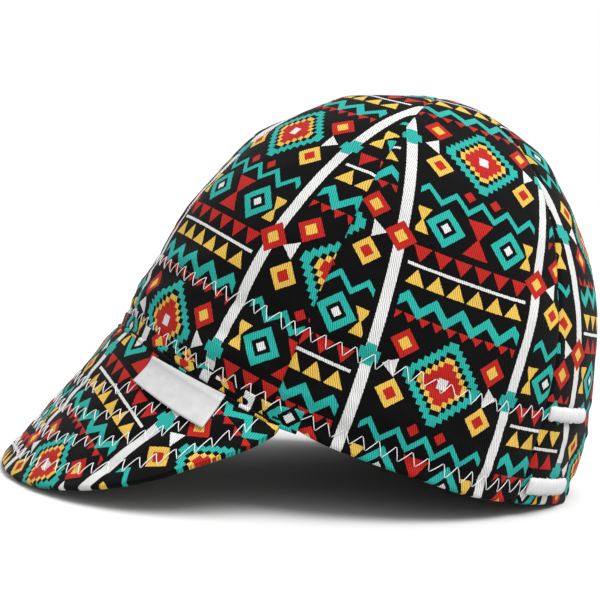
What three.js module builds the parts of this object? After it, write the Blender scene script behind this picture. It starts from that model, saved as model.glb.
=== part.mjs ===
// Welding cap: six cloth gores that meet at the top, a quilted soft bill, a sweatband inside the hem,
// four satin bars where the elastic starts at the back, and a blank label in the bill seam.
// Millimetres, +Z up. The bill points to -Y and the wearer's left side to +X. The cap rests on the
// edge of its bill and on the back of its hem, with its origin under the middle of its box.
import * as THREE from "three";

// Crown, outside of the cloth, measured from the plane of the hem
const HALF_LENGTH = 100;
const HALF_WIDTH = 90;
const CROWN_HEIGHT = 139.5;
const CROWN_FULLNESS = 2.12; // exponent of the outline, where 2 is a plain ellipse
const POLE_FORWARD = 8; // the gores meet this far in front of the middle
const HEM_LIFT = { front: -1.3, side: -7.7, back: 4.7 }; // the hem dips over the ears
const FRONT_RISE = 4.8; // the hem also rises over the bill, most in the middle of the front
const FRONT_REACH = 66; // degrees on each side of the middle of the front
const GORE_WALL = 2;
const SEAM_GAP = 0.3; // air between pieces that are sewn together
const TIP_HOLE = 1.2; // the gores stop this far from the pole

// Seams between the gores, in degrees from the middle of the front
const SIDE_SEAM_FRONT = 58;
const SIDE_SEAM_BACK = 122;
const BACK_SEAM = 180;
const SEAM_DIP = 0.9;
const SEAM_SHARPNESS = 6;

// Hem band, between its two rows of stitches
const LOWER_ROW = 6;
const UPPER_ROW = 35;
const ROW_DIP = 0.5;
const ROW_WIDTH = 3;

// Sweatband inside the hem
const BAND_WALL = 1.2;
const BAND_BOTTOM = 3;
const BAND_COLUMNS = 60;

// Bill
const BILL_LENGTH = 73.2;
const BILL_WALL = 3;
const BILL_SPAN = 61; // degrees on each side of the middle of the front
const BILL_SLOPE = { front: 70.35, end: 50 }; // degrees below the plane of the hem
const BILL_ROUNDNESS = { across: 2.33, down: 0.87 }; // exponents of the outer edge's outline
const BILL_END = 3; // length left at the two ends
const BILL_ROWS = 4;
const BILL_ROW_INSET = 9.5; // from the outer edge to the first row of stitches
const BILL_ROW_PITCH = 12.2;
const BILL_EDGE_TAPER = 0.45; // share of the wall left at the outer edge
const BILL_COLUMNS = 36;

// Satin bars, two on each side, from the back seam towards the back
const BAR_START = 123;
const BAR_END = 142;
const BAR_RISE = 1.3;
const BAR_EDGE = 0.4;
const BARS = [
  { row: "upper", height: UPPER_ROW + 1, width: 5.5 },
  { row: "lower", height: LOWER_ROW + 1, width: 6.5 },
];

// Label, folded white satin with nothing on it
const LABEL_START = 25;
const LABEL_END = 47.5;
const LABEL_DROP = 13.5;
const LABEL_TOP = 1;
const LABEL_WALL = 1;

// Rest: soft cloth that is pressed flat where it stands
const PRESS = 1;

// Folds of the cloth as ridges from one point to another. Angles are in degrees from the middle of
// the front, heights are shares of the upper row's height, and the rise and width are shares of the wall.
const FOLDS = [
  { side: "left", from: 2, low: 0.35, to: 24, high: 0.72, rise: 0.9, width: 2.2 },
  { side: "left", from: 5, low: 0.8, to: 30, high: 1.2, rise: 0.7, width: 2.4 },
  { side: "left", from: 34, low: 0.3, to: 52, high: 0.5, rise: 0.5, width: 2.2 },
  { side: "left", from: 68, low: 0.45, to: 92, high: 0.6, rise: 0.45, width: 2.4 },
  { side: "left", from: 96, low: 1.3, to: 112, high: 2.1, rise: 0.5, width: 3.2 },
  { side: "right", from: 4, low: 0.5, to: 26, high: 0.85, rise: 0.8, width: 2.2 },
  { side: "right", from: 36, low: 0.35, to: 55, high: 0.5, rise: 0.5, width: 2.2 },
  { side: "right", from: 72, low: 0.5, to: 95, high: 0.6, rise: 0.45, width: 2.4 },
];

// Gathers over the elastic, between the ends of the bars
const GATHER_COUNT = 7;
const GATHER_RISE = 1.3;
const GATHER_HEIGHT = 42;

const RAD = Math.PI / 180;
const SIDES = { left: 1, right: -1 };
const clamp01 = (x) => Math.min(1, Math.max(0, x));
const ease = (x) => clamp01(x) ** 2 * (3 - 2 * clamp01(x));

// How far the hem rises over the bill, at an angle from the middle of the front
function frontRise(angle) {
  const turn = Math.abs(Math.atan2(Math.sin(angle), Math.cos(angle))) / RAD;
  return FRONT_RISE * Math.cos((Math.min(1, turn / FRONT_REACH) * Math.PI) / 2) ** 2;
}

// Height of the hem line at an angle from the middle of the front
function hemHeight(angle) {
  const wave = (HEM_LIFT.front + HEM_LIFT.back) / 4 - HEM_LIFT.side / 2;
  const slope = (HEM_LIFT.front - HEM_LIFT.back) / 2;
  const dip = HEM_LIFT.side + wave + slope * Math.cos(angle) + wave * Math.cos(2 * angle);
  return dip + frontRise(angle);
}

// Height of the upper row of stitches above the hem, which it doesn't follow over the bill
const upperRow = (angle) => UPPER_ROW - frontRise(angle);

// Outward direction of the hem line, level with its plane
function hemOutward(angle) {
  return new THREE.Vector3(
    HALF_LENGTH * Math.sin(angle),
    -HALF_WIDTH * Math.cos(angle),
    0,
  ).normalize();
}

// Smooth crown before any seam or fold. spread is 1 at the hem and 0 at the pole.
function crownSurface(angle, spread) {
  const x = HALF_WIDTH * Math.sin(angle) * spread;
  const y = -HALF_LENGTH * Math.cos(angle) * spread - (1 - spread) * POLE_FORWARD;
  const reach = Math.min(1, Math.hypot(x / HALF_WIDTH, y / HALF_LENGTH));
  const rise = Math.max(0, 1 - reach ** CROWN_FULLNESS) ** (1 / CROWN_FULLNESS);
  const point = new THREE.Vector3(x, y, hemHeight(angle) * (1 - rise) + CROWN_HEIGHT * rise);
  const level = reach ** (CROWN_FULLNESS - 2);
  const normal = new THREE.Vector3(
    (level * x) / HALF_WIDTH ** 2,
    (level * y) / HALF_LENGTH ** 2,
    rise ** (CROWN_FULLNESS - 1) / CROWN_HEIGHT,
  ).normalize();
  return { point, normal };
}

// The spread at which the crown stands a given height above the hem
function spreadAtHeight(angle, height) {
  let low = 0;
  let high = 1;
  for (let step = 0; step < 40; step += 1) {
    const middle = (low + high) / 2;
    const above = crownSurface(angle, middle).point.z - hemHeight(angle);
    if (above > height) low = middle;
    else high = middle;
  }
  return height <= 0 ? 1 : high;
}

// How far the folds and gathers push the cloth out
function foldRise(angle, height) {
  const mean = (HALF_LENGTH + HALF_WIDTH) / 2;
  let rise = 0;
  for (const fold of FOLDS) {
    const along = SIDES[fold.side] * angle * mean;
    const start = new THREE.Vector2(fold.from * RAD * mean, fold.low * UPPER_ROW);
    const end = new THREE.Vector2(fold.to * RAD * mean, fold.high * UPPER_ROW);
    const run = end.clone().sub(start);
    const here = new THREE.Vector2(along, height).sub(start);
    const share = clamp01(here.dot(run) / run.lengthSq());
    const away = here.sub(run.multiplyScalar(share)).length() / (fold.width * GORE_WALL);
    const fade = Math.sin(Math.PI * (0.15 + 0.7 * share));
    rise += fold.rise * GORE_WALL * fade * Math.exp(-(away ** 2));
  }
  const behind = Math.abs(angle) / RAD - BAR_END;
  const reach = BACK_SEAM - BAR_END;
  const turn = (behind / reach) * Math.PI * GATHER_COUNT;
  const gather = ease(behind / (reach / 4)) * (1 - ease(height / GATHER_HEIGHT - 0.2));
  return rise + GATHER_RISE * gather * Math.sin(turn / 2) ** 2;
}

// How far the two rows of stitches pull the cloth in
function rowDip(angle, height) {
  const pull = (row) => Math.exp(-(((height - row) / ROW_WIDTH) ** 2));
  return ROW_DIP * (pull(LOWER_ROW) + pull(upperRow(angle)));
}

// Bill: length, slope and outward direction at a turn from -1 to 1 along the bill seam
function billRib(turn) {
  const across = Math.sin((turn * Math.PI) / 2);
  const angle = BILL_SPAN * RAD * across;
  const round = (1 - Math.abs(across) ** BILL_ROUNDNESS.across) ** BILL_ROUNDNESS.down;
  const slope = BILL_SLOPE.front + (BILL_SLOPE.end - BILL_SLOPE.front) * across ** 2;
  const length = BILL_END + (BILL_LENGTH - BILL_END) * round;
  return { angle, slope: slope * RAD, length, outward: hemOutward(angle) };
}

// A point of the bill at a share of its length, and at a depth below its upper face
function billPoint(turn, share, depth) {
  const { angle, slope, length, outward } = billRib(turn);
  const point = crownSurface(angle, 1).point;
  point.z -= SEAM_GAP;
  const down = length * share;
  point.addScaledVector(outward, Math.cos(slope) * down);
  point.z -= Math.sin(slope) * down;
  const lean = ease(share * 5);
  const normal = outward.clone().multiplyScalar(1 - lean + lean * Math.sin(slope));
  normal.z = lean * Math.cos(slope);
  return point.addScaledVector(normal.normalize(), -depth);
}

// The turn along the bill seam that lies at an angle
const billTurn = (degrees) => (Math.asin(degrees / BILL_SPAN) * 2) / Math.PI;

// Seat: the cap is tipped until the bill's edge and the back of the hem touch the ground together
const billContact = billPoint(0, 1, BILL_WALL * (0.5 + BILL_EDGE_TAPER / 2));
const backContact = crownSurface(Math.PI, 1).point;
const tip = Math.atan2(backContact.z - billContact.z, backContact.y - billContact.y);
const tipped = new THREE.Matrix4().makeRotationX(-tip);
const lift = -PRESS - backContact.clone().applyMatrix4(tipped).z;

// Puts a point in the resting cap, with the cloth pressed flat on the ground
function seat(point) {
  const seated = point.clone().applyMatrix4(tipped);
  seated.z = Math.max(0, seated.z + lift);
  return seated;
}

// A closed sheet between two grids of points, with grid[row][column] running leftwards seen from
// outside as the columns go on. A ring joins its last column to its first.
function sheetGeometry(outer, inner, ring = false) {
  const rows = outer.length;
  const columns = outer[0].length;
  const place = (layer, row, column) => (layer * rows + row) * columns + (column % columns);
  const points = [outer, inner].flatMap((grid) => grid.flat().map(seat));
  const faces = [];
  const quad = (a, b, c, d) => faces.push(a, b, c, a, c, d);
  const spans = ring ? columns : columns - 1;
  for (let row = 0; row < rows - 1; row += 1) {
    for (let column = 0; column < spans; column += 1) {
      const [a, b] = [place(0, row, column), place(0, row, column + 1)];
      const [c, d] = [place(0, row + 1, column + 1), place(0, row + 1, column)];
      quad(a, b, c, d);
      const layer = rows * columns;
      quad(d + layer, c + layer, b + layer, a + layer);
    }
  }
  for (let column = 0; column < spans; column += 1) {
    const next = column + 1;
    quad(place(1, 0, column), place(1, 0, next), place(0, 0, next), place(0, 0, column));
    const top = rows - 1;
    quad(place(0, top, column), place(0, top, next), place(1, top, next), place(1, top, column));
  }
  for (let row = 0; row < rows - 1 && !ring; row += 1) {
    const last = columns - 1;
    quad(place(0, row, 0), place(0, row + 1, 0), place(1, row + 1, 0), place(1, row, 0));
    quad(place(1, row, last), place(1, row + 1, last), place(0, row + 1, last), place(0, row, last));
  }
  const geometry = new THREE.BufferGeometry();
  geometry.setAttribute(
    "position",
    new THREE.Float32BufferAttribute(points.flatMap((point) => point.toArray()), 3),
  );
  geometry.setIndex(faces);
  geometry.computeVertexNormals();
  return geometry;
}

// Where a gore has a row of points, in shares of the two rows' heights above the hem, and the count
// of rows above them
const GORE_LOW_SHARES = [0, 0.5, 1, 1.5];
const GORE_HIGH_SHARES = [0.45, 0.7, 0.9, 1, 1.1, 1.35];
const GORE_UPPER_ROWS = 9;

const goreHeights = (angle) => [
  ...GORE_LOW_SHARES.map((share) => share * LOWER_ROW),
  ...GORE_HIGH_SHARES.map((share) => share * upperRow(angle)),
];

// One gore between two seams, in degrees
function goreGeometry(from, to, columns) {
  const middle = ((from + to) / 2) * RAD;
  const half = ((to - from) / 2) * RAD;
  const outer = [];
  const inner = [];
  const start = goreHeights(middle).length;
  for (let row = 0; row < start + GORE_UPPER_ROWS; row += 1) {
    const outerRow = [];
    const innerRow = [];
    for (let column = 0; column <= columns; column += 1) {
      const across = (2 * column) / columns - 1;
      const tipSpread = TIP_HOLE / HALF_WIDTH;
      const edgeSpread = spreadAtHeight(middle, goreHeights(middle)[start - 1]);
      const climb = (row - start + 1) / GORE_UPPER_ROWS;
      const turnedSpread = Math.sin((1 - climb) * Math.asin(edgeSpread));
      const turned = middle + across * half;
      const level = spreadAtHeight(turned, goreHeights(turned)[Math.min(row, start - 1)]);
      const blend = ease(climb * 2);
      const high = Math.max(tipSpread, turnedSpread);
      const spread = row < start ? level : high * blend + high * (1 - blend) * (level / edgeSpread);
      const inset = Math.min(half / 2, SEAM_GAP / 2 / (spread * HALF_WIDTH));
      const angle = middle + across * (half - inset);
      const { point, normal } = crownSurface(angle, spread);
      const height = point.z - hemHeight(angle);
      const fold = foldRise(angle, height);
      const dip = SEAM_DIP * Math.abs(across) ** SEAM_SHARPNESS * ease(height / LOWER_ROW);
      outerRow.push(point.clone().addScaledVector(normal, fold - dip - rowDip(angle, height)));
      innerRow.push(point.clone().addScaledVector(normal, fold - GORE_WALL));
    }
    outer.push(outerRow);
    inner.push(innerRow);
  }
  return sheetGeometry(outer, inner);
}

// Sweatband: a ring that lines the hem as high as the upper row of stitches
function sweatbandGeometry() {
  const layer = (depth) =>
    [0, 0.5, 1].map((share) =>
      Array.from({ length: BAND_COLUMNS }, (_, column) => {
        const angle = (2 * Math.PI * column) / BAND_COLUMNS;
        const height = BAND_BOTTOM + (upperRow(angle) - BAND_BOTTOM) * share;
        const { point, normal } = crownSurface(angle, spreadAtHeight(angle, height));
        return point.addScaledVector(normal, -depth);
      }),
    );
  const outside = GORE_WALL + SEAM_GAP;
  return sheetGeometry(layer(outside), layer(outside + BAND_WALL), true);
}

// Bill, with a shallow channel under each row of stitches
function billGeometry() {
  const rows = Array.from(
    { length: BILL_ROWS },
    (_, row) => 1 - (BILL_ROW_INSET + BILL_ROW_PITCH * (BILL_ROWS - 1 - row)) / BILL_LENGTH,
  );
  const halfPitch = BILL_ROW_PITCH / BILL_LENGTH / 2;
  const sections = [{ share: 0, dip: 0, taper: 0 }, { share: rows[0] / 2, dip: 0, taper: 0 }];
  for (const share of rows) {
    sections.push({ share, dip: ROW_DIP, taper: 0 });
    const last = share === rows[BILL_ROWS - 1];
    sections.push({ share: last ? (1 + share) / 2 : share + halfPitch, dip: 0, taper: 0 });
  }
  sections.push({ share: 1 - BILL_WALL / 2 / BILL_LENGTH, dip: 0, taper: 0 });
  sections.push({ share: 1, dip: 0, taper: (1 - BILL_EDGE_TAPER) / 2 });
  const turns = Array.from({ length: BILL_COLUMNS + 1 }, (_, column) => (2 * column) / BILL_COLUMNS - 1);
  const upper = sections.map(({ share, dip, taper }) =>
    turns.map((turn) => billPoint(turn, share, dip + taper * BILL_WALL)),
  );
  const under = sections.map(({ share, taper }) =>
    turns.map((turn) => billPoint(turn, share, BILL_WALL * (1 - taper))),
  );
  return sheetGeometry(upper.reverse(), under.reverse());
}

// Satin bar: a thin pad that is fullest along its middle
function barGeometry(side, { height, width }) {
  const columns = 8;
  const fullness = [0, 0.8, 1, 0.8, 0];
  const layer = (raised) =>
    fullness.map((full, row) =>
      Array.from({ length: columns + 1 }, (_, column) => {
        const share = side > 0 ? column / columns : 1 - column / columns;
        const angle = side * (BAR_START + (BAR_END - BAR_START) * share) * RAD;
        const up = height + width * (row / (fullness.length - 1) - 0.5);
        const { point, normal } = crownSurface(angle, spreadAtHeight(angle, up));
        const puff = raised ? BAR_EDGE + (BAR_RISE - BAR_EDGE) * full : 0;
        return point.addScaledVector(normal, SEAM_GAP + puff);
      }),
    );
  return sheetGeometry(layer(true), layer(false));
}

// Label: a flat tab that hangs from the bill seam over the bill
function labelGeometry() {
  const columns = 10;
  const rows = 3;
  const layer = (raise) =>
    Array.from({ length: rows + 1 }, (_, row) =>
      Array.from({ length: columns + 1 }, (_, column) => {
        const turn = billTurn(LABEL_START + ((LABEL_END - LABEL_START) * column) / columns);
        const down = LABEL_TOP + (LABEL_DROP * (rows - row)) / rows;
        return billPoint(turn, down / billRib(turn).length, -raise);
      }),
    );
  return sheetGeometry(layer(SEAM_GAP + LABEL_WALL), layer(SEAM_GAP));
}

const cap = new THREE.Group();

function addPiece(name, geometry, color, roughness) {
  const material = new THREE.MeshStandardMaterial({ color, roughness, metalness: 0 });
  const mesh = new THREE.Mesh(geometry, material);
  mesh.name = name;
  cap.add(mesh);
}

const TWILL = "#1d1c1f";
const SATIN = "#f2f1ee";
const GORES = [
  { panel: "front", from: 0, to: SIDE_SEAM_FRONT, columns: 12 },
  { panel: "side", from: SIDE_SEAM_FRONT, to: SIDE_SEAM_BACK, columns: 12 },
  { panel: "back", from: SIDE_SEAM_BACK, to: BACK_SEAM, columns: 16 },
];

for (const [sideName, side] of Object.entries(SIDES)) {
  for (const { panel, from, to, columns } of GORES) {
    const [start, end] = side > 0 ? [from, to] : [-to, -from];
    addPiece(`gore_${panel}_${sideName}`, goreGeometry(start, end, columns), TWILL, 0.9);
  }
  for (const bar of BARS) {
    addPiece(`bar_${bar.row}_${sideName}`, barGeometry(side, bar), SATIN, 0.45);
  }
}
addPiece("bill", billGeometry(), TWILL, 0.9);
addPiece("sweatband", sweatbandGeometry(), TWILL, 0.95);
addPiece("label", labelGeometry(), SATIN, 0.4);

// The origin goes under the middle of the cap's box
const box = new THREE.Box3().setFromObject(cap);
cap.position.y = -(box.min.y + box.max.y) / 2;

export default cap;
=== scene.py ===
"""Welding cap of printed twill: six gores, a quilted bill, a sweatband, satin bars and a blank label."""
import logging
import math
from dataclasses import dataclass, field
from enum import Enum

import bpy
import numpy as np
from mathutils import Matrix, Vector, noise


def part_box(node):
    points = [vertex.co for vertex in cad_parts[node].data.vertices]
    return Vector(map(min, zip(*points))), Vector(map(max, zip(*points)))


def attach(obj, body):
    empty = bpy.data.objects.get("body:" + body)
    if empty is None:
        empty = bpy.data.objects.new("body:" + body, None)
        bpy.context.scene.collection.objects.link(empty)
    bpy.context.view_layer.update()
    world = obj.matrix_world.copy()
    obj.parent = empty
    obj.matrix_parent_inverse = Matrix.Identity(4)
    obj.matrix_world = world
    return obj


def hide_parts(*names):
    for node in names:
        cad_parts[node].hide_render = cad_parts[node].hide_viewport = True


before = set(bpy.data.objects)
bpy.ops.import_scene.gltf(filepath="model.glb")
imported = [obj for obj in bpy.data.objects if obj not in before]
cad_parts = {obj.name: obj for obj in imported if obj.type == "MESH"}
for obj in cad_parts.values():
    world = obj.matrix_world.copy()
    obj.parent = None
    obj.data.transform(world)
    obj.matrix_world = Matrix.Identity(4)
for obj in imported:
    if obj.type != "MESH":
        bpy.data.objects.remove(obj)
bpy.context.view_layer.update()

LOG = logging.getLogger("welding_cap")
MM = 0.001
CLOTH_UNIT = 100 * MM  # one unit of the cloth's own map, which is laid out flat in metres
Grid = np.ndarray
Socket = bpy.types.NodeSocket
Faced = tuple[bpy.types.Material, bpy.types.Material]  # the materials of a wall's outer and inner face


class Side(Enum):
    """The wearer's two sides, with the sign of X on each."""

    LEFT = 1
    RIGHT = -1


class Ink(Enum):
    """The colours of the print, in the order of their places on the ramp."""

    BLACK = 0
    WHITE = 1
    TEAL = 2
    RED = 3
    YELLOW = 4


def ease(value: Grid) -> Grid:
    """Returns a smooth step from 0 to 1."""
    held = np.clip(value, 0, 1)
    return held * held * (3 - 2 * held)


def unit(vectors: Grid) -> Grid:
    """Returns the vectors at length 1."""
    return vectors / np.maximum(np.linalg.norm(vectors, axis=-1, keepdims=True), 1e-12)


def rough(points: Grid, size: float, seed: float) -> Grid:
    """Gives smooth noise at each point.

    Args:
        points: places in metres, with the last axis holding x, y and z.
        size: the size of the noise's lumps, in metres.
        seed: a shift that gives another run of the same noise.

    Returns:
        Values from about -1 to 1.
    """
    flat = points.reshape(-1, 3) / size + seed
    values = [noise.noise(Vector(place)) for place in flat.tolist()]
    return np.array(values).reshape(points.shape[:-1])


@dataclass(frozen=True)
class Fold:
    """A soft ridge in the cloth. Angles are in degrees from the front, heights above the hem."""

    side: Side
    start: float
    low: float
    end: float
    high: float
    rise: float
    width: float


@dataclass(frozen=True)
class Swell:
    """A wide soft bulge, or a hollow where rise is negative. Angles are in degrees from the front."""

    angle: float
    height: float
    rise: float
    size: float


@dataclass(frozen=True)
class CapForm:
    """The cap's shape in the plane of its hem, and how it rests on its bill and hem."""

    half_length: float = 100 * MM
    half_width: float = 90 * MM
    crown_height: float = 139.5 * MM
    fullness: float = 2.12
    pole_forward: float = 8 * MM
    hem_front: float = -1.3 * MM
    hem_side: float = -7.7 * MM
    hem_back: float = 4.7 * MM
    front_rise: float = 4.8 * MM
    front_reach: float = math.radians(66)
    seam_gap: float = 0.3 * MM
    seams: tuple[float, ...] = (0, 58, 122, 180)
    wall: float = 2 * MM
    lower_row: float = 6 * MM
    upper_row: float = 35 * MM
    bill_length: float = 73.2 * MM
    bill_wall: float = 3 * MM
    bill_span: float = math.radians(61)
    bill_slope_front: float = math.radians(70.35)
    bill_slope_end: float = math.radians(50)
    bill_roundness_across: float = 2.33
    bill_roundness_down: float = 0.87
    bill_end: float = 3 * MM
    bill_taper: float = 0.45
    press: float = 1 * MM

    @property
    def mean_radius(self) -> float:
        """The mean of the hem's half length and half width, by which turns are read as lengths."""
        return (self.half_length + self.half_width) / 2

    def hem_height(self, angle: Grid) -> Grid:
        """Returns the height of the hem line over its mean plane."""
        wave = (self.hem_front + self.hem_back) / 4 - self.hem_side / 2
        slope = (self.hem_front - self.hem_back) / 2
        dip = self.hem_side + wave + slope * np.cos(angle) + wave * np.cos(2 * angle)
        return dip + self.rise_over_bill(angle)

    def rise_over_bill(self, angle: Grid) -> Grid:
        """Returns how far the hem rises over the bill, most in the middle of the front."""
        turn = np.abs(np.arctan2(np.sin(angle), np.cos(angle)))
        return self.front_rise * np.cos(np.minimum(1, turn / self.front_reach) * math.pi / 2) ** 2

    def upper_row_at(self, angle: Grid) -> Grid:
        """Returns the height of the upper row above the hem, which it doesn't follow over the bill."""
        return self.upper_row - self.rise_over_bill(angle)

    def hem_outward(self, angle: Grid) -> Grid:
        """Returns the outward direction of the hem line, level with its plane."""
        x, y = self.half_length * np.sin(angle), -self.half_width * np.cos(angle)
        return unit(np.stack([x, y, np.zeros_like(x)], -1))

    def crown(self, angle: Grid, spread: Grid) -> tuple[Grid, Grid]:
        """Gives the smooth crown before any seam or fold.

        Args:
            angle: turn from the middle of the front, in radians.
            spread: 1 at the hem and 0 where the gores meet.

        Returns:
            The points and their outward normals.
        """
        x = self.half_width * np.sin(angle) * spread
        y = -self.half_length * np.cos(angle) * spread - (1 - spread) * self.pole_forward
        reach = np.clip(np.hypot(x / self.half_width, y / self.half_length), 1e-9, 1)
        rise = np.clip(1 - reach**self.fullness, 0, 1) ** (1 / self.fullness)
        z = self.hem_height(angle) * (1 - rise) + self.crown_height * rise
        level = reach ** (self.fullness - 2)
        lean = rise ** (self.fullness - 1) / self.crown_height
        normal = np.stack([level * x / self.half_width**2, level * y / self.half_length**2, lean], -1)
        return np.stack([x, y, z], -1), unit(normal)

    def spread_at(self, angle: Grid, height: Grid) -> Grid:
        """Returns the spread at which the crown stands a height above the hem."""
        angle, height = np.broadcast_arrays(np.asarray(angle, float), np.asarray(height, float))
        low, high = np.zeros(angle.shape), np.ones(angle.shape)
        for _ in range(36):
            middle = (low + high) / 2
            above = self.crown(angle, middle)[0][..., 2] - self.hem_height(angle) > height
            low, high = np.where(above, middle, low), np.where(above, high, middle)
        return np.where(height <= 0, 1.0, high)

    def seam_distance(self, angle: Grid, spread: Grid) -> Grid:
        """Returns how far a place on the crown is from the nearest seam between gores."""
        turn = np.degrees(np.abs((angle + math.pi) % (2 * math.pi) - math.pi))
        away = np.min([np.abs(turn - seam) for seam in self.seams], axis=0)
        return np.radians(away) * spread * self.mean_radius

    def bill_rib(self, turn: Grid) -> tuple[Grid, Grid, Grid]:
        """Returns the angle, slope and length of the bill at a turn from -1 to 1 along its seam."""
        across = np.sin(turn * math.pi / 2)
        angle = self.bill_span * across
        slope = self.bill_slope_front + (self.bill_slope_end - self.bill_slope_front) * across**2
        bow = np.clip(1 - np.abs(across) ** self.bill_roundness_across, 0, 1) ** self.bill_roundness_down
        return angle, slope, self.bill_end + (self.bill_length - self.bill_end) * bow

    def bill_turn(self, angle: Grid) -> Grid:
        """Returns the turn along the bill seam that lies at an angle."""
        return np.arcsin(np.clip(angle / self.bill_span, -1, 1)) * 2 / math.pi

    def bill(self, turn: Grid, share: Grid, depth: Grid) -> Grid:
        """Returns points of the bill at a share of its length and a depth below its upper face."""
        angle, slope, length = self.bill_rib(turn)
        outward = self.hem_outward(angle)
        point = self.crown(angle, np.ones_like(angle))[0]
        point[..., 2] -= self.seam_gap
        down = length * share
        point = point + outward * (np.cos(slope) * down)[..., None]
        point[..., 2] -= np.sin(slope) * down
        lean = ease(share * 5)
        normal = outward * (1 - lean + lean * np.sin(slope))[..., None]
        normal[..., 2] = lean * np.cos(slope)
        return point - unit(normal) * np.asarray(depth)[..., None]

    @property
    def tip(self) -> float:
        """The angle by which the resting cap is tipped onto its bill."""
        under = self.bill_wall * (0.5 + self.bill_taper / 2)
        front = self.bill(np.array(0.0), np.array(1.0), np.array(under))
        back = self.crown(np.array(math.pi), np.array(1.0))[0]
        return math.atan2(back[2] - front[2], back[1] - front[1])

    def tipped(self, points: Grid) -> Grid:
        """Returns points or directions turned as the resting cap is."""
        turned = points.copy()
        c, s = math.cos(self.tip), math.sin(self.tip)
        turned[..., 1] = points[..., 1] * c + points[..., 2] * s
        turned[..., 2] = points[..., 2] * c - points[..., 1] * s
        return turned

    @property
    def place(self) -> Grid:
        """How far the tipped cap is moved to stand in the frame."""
        back = self.tipped(self.crown(np.array(math.pi), np.array(1.0))[0])
        edge = self.bill_wall / 2 / self.bill_length
        taper = self.bill_wall * (1 - self.bill_taper) / 2
        shares, depths = np.array([1 - edge, 1.0]), np.array([0.0, taper])
        front = self.tipped(self.bill(np.zeros(2), shares, depths))[:, 1].min()
        return np.array([0.0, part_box("bill")[0][1] - front, -self.press - back[2]])

    def seat(self, points: Grid) -> Grid:
        """Returns points in the frame, with the cloth pressed flat where it stands."""
        seated = self.tipped(points) + self.place
        seated[..., 2] = np.maximum(seated[..., 2], 0)
        return seated


def empty_mesh_object(name: str) -> bpy.types.Object:
    """Returns a new mesh object in the scene."""
    piece = bpy.data.objects.new(name, bpy.data.meshes.new(name))
    bpy.context.scene.collection.objects.link(piece)
    return piece


@dataclass
class Weaver:
    """Makes closed cloth from two grids of points, an outer and an inner one."""

    form: CapForm

    def sheet(
        self, name: str, outer: Grid, inner: Grid, cloth: Grid, faced: Faced, ring: bool = False
    ) -> bpy.types.Object:
        """Makes a closed wall between two grids.

        Args:
            name: the piece's name.
            outer: points[row, column], with rows going up and columns going leftwards.
            inner: the same points on the wall's other face.
            cloth: the flat cloth's coordinates of each point, in metres.
            faced: the materials of the outer and the inner face.
            ring: whether the last column joins the first.

        Returns:
            The piece, with material slot 0 outside and slot 1 inside.
        """
        rows, columns = outer.shape[:2]
        spans = columns if ring else columns - 1
        index = np.arange(2 * rows * columns).reshape(2, rows, columns)
        index = np.concatenate([index, index[:, :, :1]], 2)[:, :, : spans + 1]
        quads = [self._quads(index[0]), self._quads(index[1])[:, ::-1]]
        quads.append(self._strip(index[1][0], index[0][0]))
        quads.append(self._strip(index[0][-1], index[1][-1]))
        if not ring:
            quads.append(self._strip(index[0][:, 0], index[1][:, 0]))
            quads.append(self._strip(index[1][:, -1], index[0][:, -1]))
        faces = np.concatenate(quads)
        points = self.form.seat(np.concatenate([outer, inner]).reshape(-1, 3))
        piece = empty_mesh_object(name)
        piece.data.from_pydata(points.tolist(), [], faces.tolist())
        layer = piece.data.uv_layers.new(name="cloth")
        flat = np.concatenate([cloth, cloth]).reshape(-1, 2)[faces.reshape(-1)] / CLOTH_UNIT
        layer.data.foreach_set("uv", flat.astype(np.float32).reshape(-1))
        slots = np.zeros(len(faces), np.int32)
        slots[len(quads[0]) : len(quads[0]) + len(quads[1])] = 1
        piece.data.polygons.foreach_set("material_index", slots)
        piece.data.polygons.foreach_set("use_smooth", np.ones(len(faces), bool))
        piece.data.update()
        for material in faced:
            piece.data.materials.append(material)
        return piece

    @staticmethod
    def _quads(index: Grid) -> Grid:
        """Returns the quads of one grid of vertices."""
        corners = [index[:-1, :-1], index[:-1, 1:], index[1:, 1:], index[1:, :-1]]
        return np.stack(corners, -1).reshape(-1, 4)

    @staticmethod
    def _strip(low: Grid, high: Grid) -> Grid:
        """Returns the quads between two lines of vertices."""
        return np.stack([low[:-1], low[1:], high[1:], high[:-1]], -1)


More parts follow.
